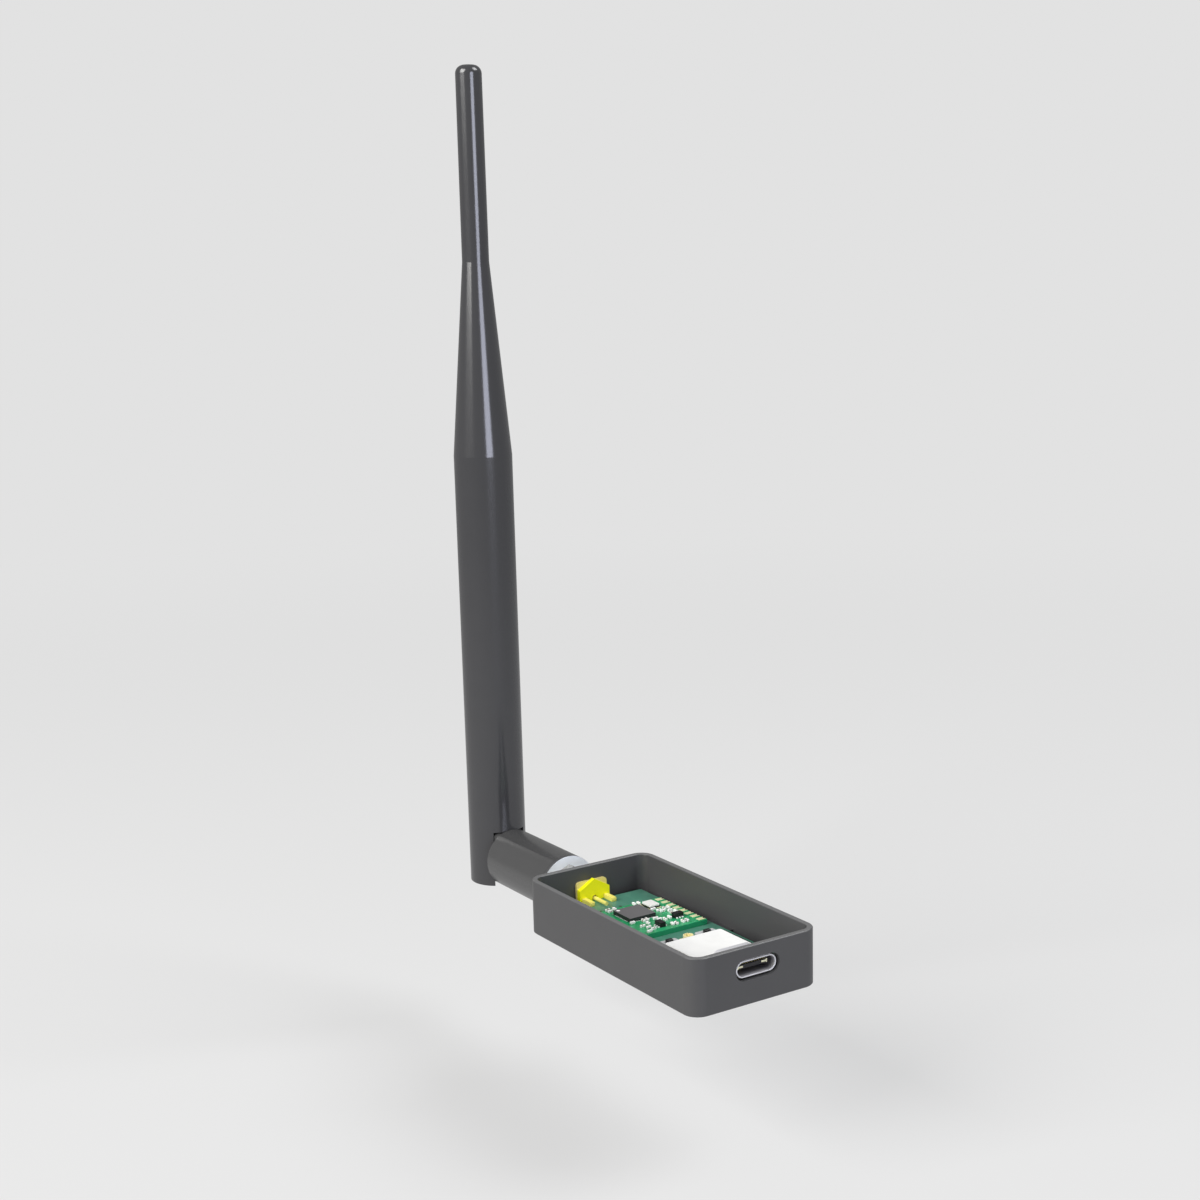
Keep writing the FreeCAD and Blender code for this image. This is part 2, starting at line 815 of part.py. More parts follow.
save("tray", make_tray())
save("carrier_board", make_carrier())
save("radio_board", make_module_board())
save("radio_pads", make_module_pads())
save("radio_chip", make_radio_chip())
save("crystal_base", make_crystal(module_top, module_top + crystal_base_height, 0))
save("crystal_lid", make_crystal(module_top + crystal_base_height,
                                 module_top + crystal_base_height + crystal_lid_height,
                                 crystal_rim))
save("rf_switches", make_packages())
save("rf_switch_leads", make_package_leads())
save("radio_small_parts", make_small_parts())
save("controller_board", make_controller_board())
save("controller_contacts", make_controller_contacts())
save("controller_chip", make_processor())
save("controller_small_parts", make_controller_parts())
save("shield_can", make_shield_can())
save("left_switch_body", make_switch_body(-1))
save("right_switch_body", make_switch_body(1))
save("left_plunger", make_plunger(-1))
save("right_plunger", make_plunger(1))
save("coax_base", make_coax_base())
save("coax_ring", make_coax_ring())
save("coax_pin", make_coax_pin())
save("usb_shell", make_usb_shell())
save("usb_insulator", make_usb_insulator())
save("usb_latches", group([latch_tool(-1), latch_tool(1)]))
save("usb_contacts", make_usb_contacts())
save("socket_body", make_socket_body())
save("socket_plate", make_socket_plate())
save("socket_legs", make_socket_legs())
save("socket_pin", make_socket_pin())
save("socket_insulator", make_socket_insulator())
save("wall_washer", make_wall_washer())
save("wall_nut", make_wall_nut())
save("coupling_nut", make_coupling_nut())
save("plug_body", make_plug_body())
save("retaining_ring", make_retaining_ring())
save("end_disc", make_end_disc())
save("plug_insulator", make_plug_insulator())
save("plug_pin", make_plug_pin())
save("base_barrel", make_base_barrel())
save("base_cable", make_base_cable())
save("hinge_pin", make_hinge_pin())
save("mast_sleeve", make_mast_sleeve())
save("ground_tube", make_ground_tube())
save("mast_cable", make_mast_cable())
save("lower_spacer", make_tube_spacer(bore_start + spacer_length))
save("upper_spacer", make_tube_spacer(tube_top - spacer_length))
save("whip_wire", make_whip())
save("tip_spacer", make_tip_spacer())
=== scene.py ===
import bmesh
import bpy
import json
import math
from mathutils import Matrix, Vector

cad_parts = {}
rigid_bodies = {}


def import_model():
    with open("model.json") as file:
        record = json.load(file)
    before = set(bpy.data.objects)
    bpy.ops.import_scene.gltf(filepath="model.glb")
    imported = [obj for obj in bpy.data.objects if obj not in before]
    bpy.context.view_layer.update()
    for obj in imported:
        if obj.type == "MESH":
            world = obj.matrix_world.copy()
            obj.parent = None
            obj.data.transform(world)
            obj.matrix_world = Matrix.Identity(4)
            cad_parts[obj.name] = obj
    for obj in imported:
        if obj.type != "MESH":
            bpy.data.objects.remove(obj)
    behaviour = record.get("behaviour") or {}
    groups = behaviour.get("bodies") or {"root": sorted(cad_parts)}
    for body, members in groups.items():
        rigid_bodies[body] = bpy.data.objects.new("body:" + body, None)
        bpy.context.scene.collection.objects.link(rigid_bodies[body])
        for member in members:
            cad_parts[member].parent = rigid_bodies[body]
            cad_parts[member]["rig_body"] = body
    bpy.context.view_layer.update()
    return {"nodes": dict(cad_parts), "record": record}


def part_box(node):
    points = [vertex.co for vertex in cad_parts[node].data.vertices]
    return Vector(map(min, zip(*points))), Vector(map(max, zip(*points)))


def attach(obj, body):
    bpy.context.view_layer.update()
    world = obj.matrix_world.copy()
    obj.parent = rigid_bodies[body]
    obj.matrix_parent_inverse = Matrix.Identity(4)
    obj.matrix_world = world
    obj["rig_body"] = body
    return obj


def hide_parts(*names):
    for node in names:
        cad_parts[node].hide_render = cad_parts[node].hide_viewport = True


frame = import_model()
nodes = frame["nodes"]
body_of = {node: piece["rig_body"] for node, piece in nodes.items()}
slot_of = {part["node"]: part["material_slot"] for part in frame["record"]["subparts"]}
mm = 0.001

# View: a long lens from the front left, a little above the tray
camera_place = Vector((-189.337, -277.209, 129.350)) * mm
camera_azimuth = -33.900
camera_elevation = 11.726
camera_roll = math.radians(-1.190)
camera_lens = 56.142
camera_shift = (-0.04, 0.04)
camera_range = (0.01, 20.0)
sensor_width = 36.0

# Floor and backdrop: the floor's glow lifts the shadow on it, and both are weaker where mirrored
floor_level = -34.0 * mm
floor_reach = 4.0
floor_near = 0.12
floor_far = 0.80
floor_colour = (0.33, 0.33, 0.33)
floor_roughness = 0.9
floor_lift = 0.422
backdrop_colour = (0.76, 0.76, 0.76)
mirrored_share = 0.42

# Light: a weak white sky, and lamps that aim at the middle of the object
white = (1.0, 1.0, 1.0, 1.0)
sky_strength = 0.15
lamp_reach = 1.8
lamp_target = Vector((0.0, 20.0, 30.0)) * mm

# Painted rim highlight, and fine patterns of the finishes. Borders are the values between which one colour
# gives way to the other
facing_border = (0.4, 0.6)
rim_highlight_band = 0.15 * mm
cloud_size = 5.0 * mm
cloud_shades = (0.95, 1.05)
grain_polish = 0.04
plating_shades = (0.94, 1.05)
plating_polish = (-0.05, 0.06)
grains_a_streak = 4
shell_metallic = 0.5
shell_skin = 0.20 * mm
lip_depth = 1.3 * mm
lip_share = 0.85
face_ring = 0.12 * mm
face_patch = 2.0 * mm
face_depth = 0.0015 * mm
fine_shades = (0.96, 1.04)
weave_pitch = 0.45 * mm
pour_border = (0.50, 0.54)
lacquer_grain = 0.3 * mm
lacquer_depth = 0.002 * mm
ceramic_patch = 1.6 * mm
ceramic_border = (0.56, 0.60)
ceramic_grain = 0.06 * mm
speckle_share = 0.25
speckle_shade = 1.1
compound_grain = 0.08 * mm
compound_shades = (0.85, 1.15)
compound_polish = (0.40, 0.52)
rough_depth = 0.003 * mm
mark_radius = 0.38 * mm
mark_inset = 0.72 * mm
mark_blur = 0.08

# Vias and tracks: thin copper under the lacquer, half sunk in the board
via_radius = 0.3 * mm
via_height = 0.04 * mm
via_sides = 16
carrier_via_side = 9.9 * mm
carrier_via_start = -24.0 * mm
carrier_via_pitch = 3.2 * mm
carrier_via_rows = 16
module_via_places = ((1.1, 1.3), (1.1, 4.0), (1.2, 6.2), (7.6, 6.3), (11.9, 6.9), (8.9, 3.2),
                     (13.2, 1.4), (10.3, 1.0), (11.2, 15.4), (6.9, 15.2), (2.1, 5.2), (13.6, 11.6),
                     (9.8, 11.8), (14.1, 3.0))
track_height = 0.04 * mm
track_width = 0.25 * mm
track_bend = 0.15 * mm
bend_steps = 4
track_stub = 0.35 * mm
track_jogs = (0.9 * mm, 1.15 * mm, 1.4 * mm)
track_aside = 0.5 * mm
track_tail = 0.8 * mm
feed_width = 1.3 * mm
feed_tuck = 0.2 * mm
feed_past_pin = 1.2 * mm

# Solder lands (length, width and height), and the ends of chip capacitors and resistors
chip_land = (0.3 * mm, 0.24 * mm, 0.05 * mm)
chip_land_pitch = 0.5 * mm
chip_land_shift = 0.03 * mm
chip_land_rows = 9
crystal_land = (1.1 * mm, 1.2 * mm, 0.06 * mm)
crystal_land_inset = (0.4 * mm, 0.35 * mm)
cap_share = 0.26
cap_wrap = 0.03 * mm
cap_edge = 0.06 * mm
cap_smooth = 50.0
ceramic_edge = 0.02 * mm

# Antenna mast: a foot, a straight run, a cone and a slim upper part, hollow above its knuckle
foot_round = 0.15 * mm
cone_start = 90.3 * mm
cone_end = 129.6 * mm
cone_round = 3.0 * mm
neck_radius = 2.76 * mm
tip_radius = 2.66 * mm
tip_round = 1.7 * mm
mast_wall = 1.65 * mm
mast_smooth = 30.0
mast_sides = 96
seam_distance = 0.001 * mm
arc_steps = 7
slot_half = 3.65 * mm
slot_ceiling = 10.19 * mm
bore_start = 13.19 * mm
bore_sides = 48
tip_bore = 1.6 * mm
tip_wall = 6.0 * mm
cable_hole = 1.0 * mm
pin_clearance = 0.05 * mm
past_cut = 1.0 * mm

# How the solids' facets are joined up, and the width in millimetres of each softened edge
merge_distance = 0.0005 * mm
flat_angle = math.radians(0.4)
edge_angle = 32.0
edge_segments = 2
edge_widths = {
    "tray": 0.12, "base_barrel": 0.12, "end_disc": 0.05, "radio_chip": 0.03, "socket_body": 0.10,
    "socket_plate": 0.06, "socket_legs": 0.10, "coupling_nut": 0.10, "wall_nut": 0.10,
    "wall_washer": 0.06, "left_switch_body": 0.06, "right_switch_body": 0.06, "left_plunger": 0.04,
    "right_plunger": 0.04, "coax_base": 0.03, "coax_ring": 0.04, "coax_pin": 0.02, "usb_shell": 0.12,
    "usb_insulator": 0.06, "usb_latches": 0.04, "carrier_board": 0.02, "controller_board": 0.03,
    "shield_can": 0.05, "radio_board": 0.02, "radio_pads": 0.015, "rf_switches": 0.03,
    "rf_switch_leads": 0.03, "controller_chip": 0.03, "crystal_lid": 0.04, "crystal_base": 0.02,
    "hinge_pin": 0.08, "retaining_ring": 0.03,
}


# Meshes and objects
def new_piece(name, mesh):
    piece = bpy.data.objects.new(name, mesh)
    bpy.context.scene.collection.objects.link(piece)
    return piece


def from_bmesh(name, shape):
    mesh = bpy.data.meshes.new(name)
    shape.to_mesh(mesh)
    shape.free()
    return new_piece(name, mesh)


def corners_of(node):
    low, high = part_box(node)
    return Vector(low), Vector(high)


# Nodes of any tree: an input takes a number, a colour or a link from another node's socket
def find_socket(sockets, key):
    if isinstance(key, int):
        return sockets[key]
    return next(socket for socket in sockets if socket.enabled and socket.name == key)


def set_inputs(tree, node, inputs):
    for key, value in inputs.items():
        socket = find_socket(node.inputs, key)
        if isinstance(value, bpy.types.NodeSocket):
            tree.links.new(value, socket)
        else:
            socket.default_value = value


def add_node(tree, kind, inputs, **settings):
    made = tree.nodes.new(kind)
    for name, value in settings.items():
        setattr(made, name, value)
    set_inputs(tree, made, inputs)
    return made


def calculate(tree, operation, *values):
    return add_node(tree, "ShaderNodeMath", dict(enumerate(values)), operation=operation).outputs[0]


# The distance that two legs at right angles span
def span(tree, *legs):
    squares = [calculate(tree, "MULTIPLY", leg, leg) for leg in legs]
    return calculate(tree, "SQRT", calculate(tree, "ADD", *squares))


def axes_of(tree, vector):
    return add_node(tree, "ShaderNodeSeparateXYZ", {"Vector": vector}).outputs


def noise(tree, place, size, detail=2.0):
    grain = add_node(tree, "ShaderNodeTexNoise", {"Vector": place, "Scale": 1.0 / size, "Detail": detail})
    return grain.outputs["Fac"]


# A value carried from one range over to another. The usual first range is that of a noise
def spread(tree, value, low, high, from_low=0.3, from_high=0.7, **settings):
    ranged = add_node(tree, "ShaderNodeMapRange",
                      {"Value": value, "From Min": from_low, "From Max": from_high,
                       "To Min": low, "To Max": high}, **settings)
    return ranged.outputs["Result"]


def opaque(colour):
    return colour if isinstance(colour, bpy.types.NodeSocket) else (*colour, 1.0)


def blend_colours(tree, factor, one, other):
    mix = add_node(tree, "ShaderNodeMix", {"Factor": factor, "A": opaque(one), "B": opaque(other)},
                   data_type="RGBA")
    return mix.outputs["Result"]


def shade(colour, factor):
    return tuple(min(1.0, channel * factor) for channel in colour)


# A colour that a pattern shifts between two shades of it
def varied(tree, factor, colour, shades):
    return blend_colours(tree, factor, *(shade(colour, share) for share in shades))


def relief(tree, height, depth):
    bump = add_node(tree, "ShaderNodeBump", {"Strength": 1.0, "Distance": depth, "Height": height})
    return bump.outputs["Normal"]


# How much a surface faces along an axis: along Z it is 1 on a board's faces, and 0 on its cut edges
def facing(tree, axis):
    geometry = tree.nodes.new("ShaderNodeNewGeometry")
    along = calculate(tree, "ABSOLUTE", axes_of(tree, geometry.outputs["True Normal"])[axis])
    return spread(tree, along, 0.0, 1.0, *facing_border)


# Materials: each has its colour, a fine variation and a fine relief, on Object coordinates
def material_parts(name):
    material = bpy.data.materials.new(name)
    material.use_nodes = True
    tree = material.node_tree
    place = tree.nodes.new("ShaderNodeTexCoord")
    return material, tree, tree.nodes["Principled BSDF"], place.outputs["Object"]


# Moulded plastic: fine grain from the mould, slight cloudiness over a few millimetres, and on the
# tray a paler band along the top of the rim, which is a painted highlight
def moulded_plastic(name, colour, roughness, grain=0.18 * mm, depth=0.004 * mm, shine=0.5,
                    rim_height=None, rim_highlight_colour=None):
    material, tree, shader, place = material_parts(name)
    tone = varied(tree, noise(tree, place, cloud_size, detail=3.0), colour, cloud_shades)
    # Painted highlight: a paler colour on the band just below the rim's top edge
    if rim_height is not None:
        rim_highlight_mask = spread(tree, axes_of(tree, place)["Z"], 0.0, 1.0, rim_height - rim_highlight_band, rim_height)
        tone = blend_colours(tree, rim_highlight_mask, tone, rim_highlight_colour)
    fine = noise(tree, place, grain)
    set_inputs(tree, shader, {
        "Base Color": tone, "Specular IOR Level": shine, "Normal": relief(tree, fine, depth),
        "Roughness": spread(tree, fine, roughness - grain_polish, roughness + grain_polish)})
    return material


# Plating: faint streaks along the surface, a little variation in polish, and a fine relief
def plating(tree, shader, place, colour, roughness, streak, depth):
    patches = noise(tree, place, streak, detail=3.0)
    set_inputs(tree, shader, {
        "Roughness": spread(tree, patches, *(roughness + change for change in plating_polish)),
        "Normal": relief(tree, noise(tree, place, streak / grains_a_streak), depth)})
    return varied(tree, patches, colour, plating_shades)


def plated_metal(name, colour, roughness, streak=0.5 * mm, depth=0.002 * mm, metallic=1.0):
    material, tree, shader, place = material_parts(name)
    tone = plating(tree, shader, place, colour, roughness, streak, depth)
    set_inputs(tree, shader, {"Base Color": tone, "Metallic": metallic})
    return material


# Drawn shell of the port: its own colour outside, on its lip and on faces along Y, and a darker
# painted shade further in. Its section is two half circles with a straight between them
def drawn_shell(name, colour, shaded_inner_colour, roughness, streak, depth):
    material, tree, shader, place = material_parts(name)
    low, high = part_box("usb_shell")
    round_radius = (high[2] - low[2]) / 2
    flat_half = (high[0] - low[0]) / 2 - round_radius
    parts = axes_of(tree, place)
    across = calculate(tree, "SUBTRACT", calculate(tree, "ABSOLUTE", parts["X"]), flat_half)
    across = calculate(tree, "MAXIMUM", across, 0.0)
    rise = calculate(tree, "SUBTRACT", parts["Z"], (low[2] + high[2]) / 2)
    outside = spread(tree, span(tree, across, rise), 0.0, 1.0, round_radius - shell_skin,
                     round_radius - shell_skin / 2)
    near_lip = spread(tree, parts["Y"], lip_share, 0.0, low[1], low[1] + lip_depth)
    # Painted shade: back from the lip, the shell's inner surfaces take the darker colour
    unshaded = calculate(tree, "MAXIMUM", calculate(tree, "MAXIMUM", outside, near_lip), facing(tree, "Y"))
    tone = plating(tree, shader, place, colour, roughness, streak, depth)
    set_inputs(tree, shader, {"Base Color": blend_colours(tree, unshaded, shaded_inner_colour, tone),
                              "Metallic": shell_metallic})
    return material


# Turned face: rings about the antenna's axis, left by the tool, under a satin plate, and a dark rim
def turned_face(name, colour, rim_highlight_colour, roughness):
    material, tree, shader, place = material_parts(name)
    axis_height = sum(corner[2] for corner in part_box("end_disc")) / 2
    parts = axes_of(tree, place)
    radius = span(tree, parts["X"], calculate(tree, "SUBTRACT", parts["Z"], axis_height))
    rings = calculate(tree, "SINE", calculate(tree, "MULTIPLY", radius, 2 * math.pi / face_ring))
    tone = varied(tree, noise(tree, place, face_patch), colour, fine_shades)
    set_inputs(tree, shader, {"Base Color": blend_colours(tree, facing(tree, "Y"), rim_highlight_colour, tone),
                              "Roughness": roughness, "Normal": relief(tree, rings, face_depth)})
    return material


# Circuit board: lacquer over woven glass and copper pours, and bare laminate on the cut edges
def circuit_board(name, colour, pour_colour, edge_colour, roughness, pour_size=2.4 * mm):
    material, tree, shader, place = material_parts(name)
    parts = axes_of(tree, place)
    threads = [calculate(tree, "SINE", calculate(tree, "MULTIPLY", parts[axis], 2 * math.pi / weave_pitch))
               for axis in ("X", "Y")]
    woven = spread(tree, calculate(tree, "MULTIPLY", *threads), 0.0, 1.0, -1.0, 1.0)
    lacquer = varied(tree, woven, colour, fine_shades)
    pours = spread(tree, noise(tree, place, pour_size, detail=0.0), 0.0, 1.0, *pour_border)
    face = blend_colours(tree, pours, lacquer, pour_colour)
    set_inputs(tree, shader, {
        "Base Color": blend_colours(tree, facing(tree, "Z"), edge_colour, face),
        "Roughness": roughness,
        "Normal": relief(tree, noise(tree, place, lacquer_grain), lacquer_depth)})
    return material


# Chip parts: pale and brown ceramics in turn, from place to place on the board
def ceramic_mix(name, pale, brown, roughness):
    material, tree, shader, place = material_parts(name)
    choice = spread(tree, noise(tree, place, ceramic_patch, detail=0.0), 0.0, 1.0, *ceramic_border)
    grain = noise(tree, place, ceramic_grain)
    mixed = blend_colours(tree, choice, pale, brown)
    speckled = blend_colours(tree, spread(tree, grain, 0.0, speckle_share), mixed,
                             shade(pale, speckle_shade))
    set_inputs(tree, shader, {"Base Color": speckled, "Roughness": roughness,
                              "Normal": relief(tree, grain, rough_depth)})
    return material


# Moulding compound: a matt top with a pale round mark beside one corner, and much darker sides
def marked_chip(name, colour, side_colour, mark_colour, mark_place):
    material, tree, shader, place = material_parts(name)
    distance = add_node(tree, "ShaderNodeVectorMath", {0: place, 1: mark_place}, operation="DISTANCE")
    inside = spread(tree, distance.outputs["Value"], 1.0, 0.0, mark_radius * (1 - mark_blur),
                    mark_radius * (1 + mark_blur))
    fine = noise(tree, place, compound_grain)
    top = blend_colours(tree, inside, varied(tree, fine, colour, compound_shades), mark_colour)
    set_inputs(tree, shader, {"Base Color": blend_colours(tree, facing(tree, "Z"), side_colour, top),
                              "Roughness": spread(tree, fine, *compound_polish),
                              "Normal": relief(tree, fine, rough_depth)})
    return material


chip_low, chip_high = corners_of("radio_chip")
mark_place = (chip_low.x + mark_inset, chip_high.y - mark_inset, chip_high.z)

# A finish for each slot
finishes = {
    # The case's paler rim colour is a painted highlight along the rim's top
    "case_plastic": moulded_plastic("case_plastic", (0.063, 0.063, 0.065), 0.42,
                                    rim_height=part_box("tray")[1][2], rim_highlight_colour=(0.142, 0.142, 0.144)),
    "antenna_plastic": moulded_plastic("antenna_plastic", (0.041, 0.041, 0.044), 0.17,
                                       depth=0.0005 * mm, shine=0.75),
    "carrier_laminate": circuit_board("carrier_laminate", (0.070, 0.225, 0.160), (0.080, 0.245, 0.175),
                                      (0.10, 0.14, 0.09), 0.40),
    "module_laminate": circuit_board("module_laminate", (0.012, 0.290, 0.100), (0.024, 0.360, 0.140),
                                     (0.014, 0.300, 0.130), 0.34, pour_size=1.5 * mm),
    "dark_laminate": circuit_board("dark_laminate", (0.020, 0.022, 0.021), (0.026, 0.028, 0.027),
                                   (0.08, 0.07, 0.05), 0.35),
    "chip_plastic": moulded_plastic("chip_plastic", (0.030, 0.028, 0.030), 0.42, grain=0.08 * mm,
                                    depth=0.003 * mm),
    "capacitor_ceramic": ceramic_mix("capacitor_ceramic", (0.90, 0.89, 0.87), (0.36, 0.30, 0.25), 0.35),
    "can_steel": plated_metal("can_steel", (0.95, 0.95, 0.94), 0.42, streak=3.0 * mm,
                              depth=0.0005 * mm, metallic=0.0),
    "crystal_steel": plated_metal("crystal_steel", (0.93, 0.92, 0.89), 0.34, depth=0.0004 * mm,
                                  metallic=0.12),
    "gold_plate": plated_metal("gold_plate", (0.92, 0.78, 0.32), 0.34, depth=0.0004 * mm, metallic=0.45),
    "yellow_brass": plated_metal("yellow_brass", (0.97, 0.95, 0.003), 0.42, metallic=0.1),
    "tinned_leads": plated_metal("tinned_leads", (0.96, 0.96, 0.96), 0.36, streak=0.4 * mm,
                                 depth=0.0005 * mm, metallic=0.1),
    # The shell's darker second colour is painted shade inside the port
    "shell_steel": drawn_shell("shell_steel", (0.84, 0.84, 0.88), (0.24, 0.235, 0.27), 0.32,
                               streak=2.0 * mm, depth=0.0003 * mm),
    "nickel": plated_metal("nickel", (0.70, 0.68, 0.64), 0.27, streak=1.5 * mm, depth=0.0003 * mm),
    "tube_brass": plated_metal("tube_brass", (0.72, 0.55, 0.25), 0.30, streak=1.5 * mm,
                               depth=0.0004 * mm),
    # The disc's bluish tint is a painted reflection of the bluish strip lamp; the pale silver is its own
    # colour
    "disc_silver": turned_face("disc_silver", (0.87, 0.92, 1.0), (0.060, 0.060, 0.062), 0.50),
}
for name, colour, roughness in (
        ("crystal_ceramic", (0.020, 0.017, 0.012), 0.40),
        ("black_insulator", (0.020, 0.020, 0.021), 0.45),
        ("white_insulator", (0.75, 0.74, 0.71), 0.45),
        ("switch_grey", (0.52, 0.53, 0.54), 0.36),
        ("plunger_black", (0.008, 0.008, 0.008), 0.45),
        ("coax_cream", (0.70, 0.62, 0.44), 0.42),
        ("cable_jacket", (0.018, 0.018, 0.019), 0.42),
        ("spacer_foam", (0.66, 0.66, 0.64), 0.60)):
    finishes[name] = moulded_plastic(name, colour, roughness)

# Nodes whose finish differs from that of their slot, and the module's tracks
own_finishes = {
    "radio_chip": marked_chip("radio_chip_top", (0.130, 0.126, 0.130), (0.016, 0.015, 0.018),
                              (0.92, 0.91, 0.90), mark_place),
    "rf_switches": moulded_plastic("switch_package", (0.004, 0.004, 0.004), 0.42, grain=0.08 * mm,
                                   depth=0.002 * mm),
    "base_barrel": moulded_plastic("barrel_plastic", (0.054, 0.054, 0.055), 0.26, grain=0.08 * mm,
                                   depth=0.0002 * mm, shine=1.0),
    "socket_plate": plated_metal("plate_gold", (0.78, 0.66, 0.23), 0.40, streak=1.0 * mm, metallic=0.1),
}
for node, name, colour, roughness, metallic in (
        ("radio_pads", "pad_gold", (0.86, 0.88, 0.52), 0.40, 0.2),
        ("socket_legs", "leg_gold", (0.97, 0.84, 0.19), 0.40, 0.1),
        ("socket_pin", "pin_gold", (0.97, 0.86, 0.24), 0.40, 0.1),
        ("coax_ring", "ring_gold", (0.93, 0.86, 0.50), 0.34, 0.3),
        ("usb_latches", "latch_gold", (0.92, 0.90, 0.62), 0.34, 0.2)):
    own_finishes[node] = plated_metal(name, colour, roughness, streak=0.3 * mm, metallic=metallic)
track_green = circuit_board("module_track", (0.060, 0.430, 0.205), (0.070, 0.450, 0.215),
                            (0.05, 0.36, 0.16), 0.32)


def finish_for(node):
    return own_finishes.get(node, finishes[slot_of[node]])


def paint(piece, node):
    piece.data.materials.clear()
    piece.data.materials.append(finish_for(node))


# A piece that takes a node's place, and one that is added to a node's body
def dressed(piece, node):
    paint(piece, node)
    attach(piece, body_of[node])
    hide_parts(node)


def added(piece, node):
    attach(piece, body_of[node])


def bake_modifiers(piece):
    graph = bpy.context.evaluated_depsgraph_get()
    graph.update()
    mesh = bpy.data.meshes.new_from_object(piece.evaluated_get(graph))
    piece.modifiers.clear()
    piece.data = mesh


def smooth_by_angle(piece, angle):
    piece.data.shade_smooth()
    shape = bmesh.new()
    shape.from_mesh(piece.data)
    limit = math.radians(angle)
    for edge in shape.edges:
        if len(edge.link_faces) == 2 and edge.calc_face_angle(0.0) > limit:
            edge.smooth = False
    shape.to_mesh(piece.data)
    shape.free()
    level = piece.modifiers.new("level", "WEIGHTED_NORMAL")
    level.keep_sharp = True
    bake_modifiers(piece)


def round_edges(piece, width, segments):
    bevel = piece.modifiers.new("edges", "BEVEL")
    bevel.width = width
    bevel.segments = segments
    bevel.limit_method = "ANGLE"
    bevel.angle_limit = math.radians(edge_angle)
    bake_modifiers(piece)


def merged(node):
    shape = bmesh.new()
    shape.from_mesh(nodes[node].data)
    bmesh.ops.remove_doubles(shape, verts=shape.verts, dist=merge_distance)
    return shape


# A solid with its hard edges softened: the flat faces are joined up again, then bevelled
def soften(node, width):
    shape = merged(node)
    bmesh.ops.dissolve_limit(shape, angle_limit=flat_angle, verts=shape.verts, edges=shape.edges,
                             delimit=set())
    piece = from_bmesh(node + "_dressed", shape)
    round_edges(piece, width, edge_segments)
    smooth_by_angle(piece, edge_angle)
    dressed(piece, node)


# Geometry Nodes: a tree with named inputs, filled in on a base mesh and made a plain mesh
def new_tree(name, inputs):
    tree = bpy.data.node_groups.new(name, "GeometryNodeTree")
    tree.interface.new_socket("Geometry", in_out="INPUT", socket_type="NodeSocketGeometry")
    for label, kind in inputs:
        tree.interface.new_socket(label, in_out="INPUT", socket_type="NodeSocket" + kind)
    tree.interface.new_socket("Geometry", in_out="OUTPUT", socket_type="NodeSocketGeometry")
    return tree, tree.nodes.new("NodeGroupInput").outputs


def end_tree(tree, geometry, material):
    real = add_node(tree, "GeometryNodeRealizeInstances", {"Geometry": geometry})
    painted = add_node(tree, "GeometryNodeSetMaterial", {"Geometry": real.outputs[0], "Material": material})
    add_node(tree, "NodeGroupOutput", {"Geometry": painted.outputs[0]})
    return tree


def grown(name, tree, base, sizes):
    piece = new_piece(name, base)
    modifier = piece.modifiers.new("grown", "NODES")
    modifier.node_group = tree
    for item in tree.interface.items_tree:
        if item.in_out == "INPUT" and item.name in sizes:
            modifier[item.identifier] = sizes[item.name]
    bake_modifiers(piece)
    return piece


# Points to grow on. A turn about Z goes with each, and is 0 where none is given
def points_mesh(name, places, turns=()):
    mesh = bpy.data.meshes.new(name)
    mesh.from_pydata(places, [], [])
    marks = mesh.attributes.new("turn", "FLOAT_VECTOR", "POINT")
    for mark, turn in zip(marks.data, turns):
        mark.vector = (0.0, 0.0, turn)
    return mesh


# Bricks on points, turned as each point says: one on each, or two at a distance either side of it
def brick_tree(name, twin):
    tree, given = new_tree(name, (("Length", "Float"), ("Width", "Float"), ("Height", "Float"),
                                  ("Offset", "Float"), ("Material", "Material")))
    size = add_node(tree, "ShaderNodeCombineXYZ", {"X": given["Length"], "Y": given["Width"],
                                                   "Z": given["Height"]})
    cube = add_node(tree, "GeometryNodeMeshCube", {"Size": size.outputs[0]})
    brick = cube.outputs["Mesh"]
    if twin:
        pair = tree.nodes.new("GeometryNodeJoinGeometry")
        for side in (-1.0, 1.0):
            reach = calculate(tree, "MULTIPLY", given["Offset"], side)
            shift = add_node(tree, "ShaderNodeCombineXYZ", {"X": reach})
            moved = add_node(tree, "GeometryNodeTransform", {"Geometry": brick,
                                                             "Translation": shift.outputs[0]})
            tree.links.new(moved.outputs[0], pair.inputs[0])
        brick = pair.outputs[0]
    turn = add_node(tree, "GeometryNodeInputNamedAttribute", {"Name": "turn"}, data_type="FLOAT_VECTOR")
    copies = add_node(tree, "GeometryNodeInstanceOnPoints",
                      {"Points": given["Geometry"], "Instance": brick,
                       "Rotation": find_socket(turn.outputs, "Attribute")})
    return end_tree(tree, copies.outputs[0], given["Material"])


# What a brick tree is given
def brick_sizes(size, material, offset=0.0):
    length, width, height = size
    return {"Length": length, "Width": width, "Height": height, "Offset": offset, "Material": material}


# Flat round dots on points
def dot_tree():
    tree, given = new_tree("dots", (("Radius", "Float"), ("Height", "Float"), ("Material", "Material")))
    dot = add_node(tree, "GeometryNodeMeshCylinder", {"Vertices": via_sides, "Radius": given["Radius"],
                                                      "Depth": given["Height"]})
    copies = add_node(tree, "GeometryNodeInstanceOnPoints",
                      {"Points": given["Geometry"], "Instance": dot.outputs["Mesh"]})
    return end_tree(tree, copies.outputs[0], given["Material"])


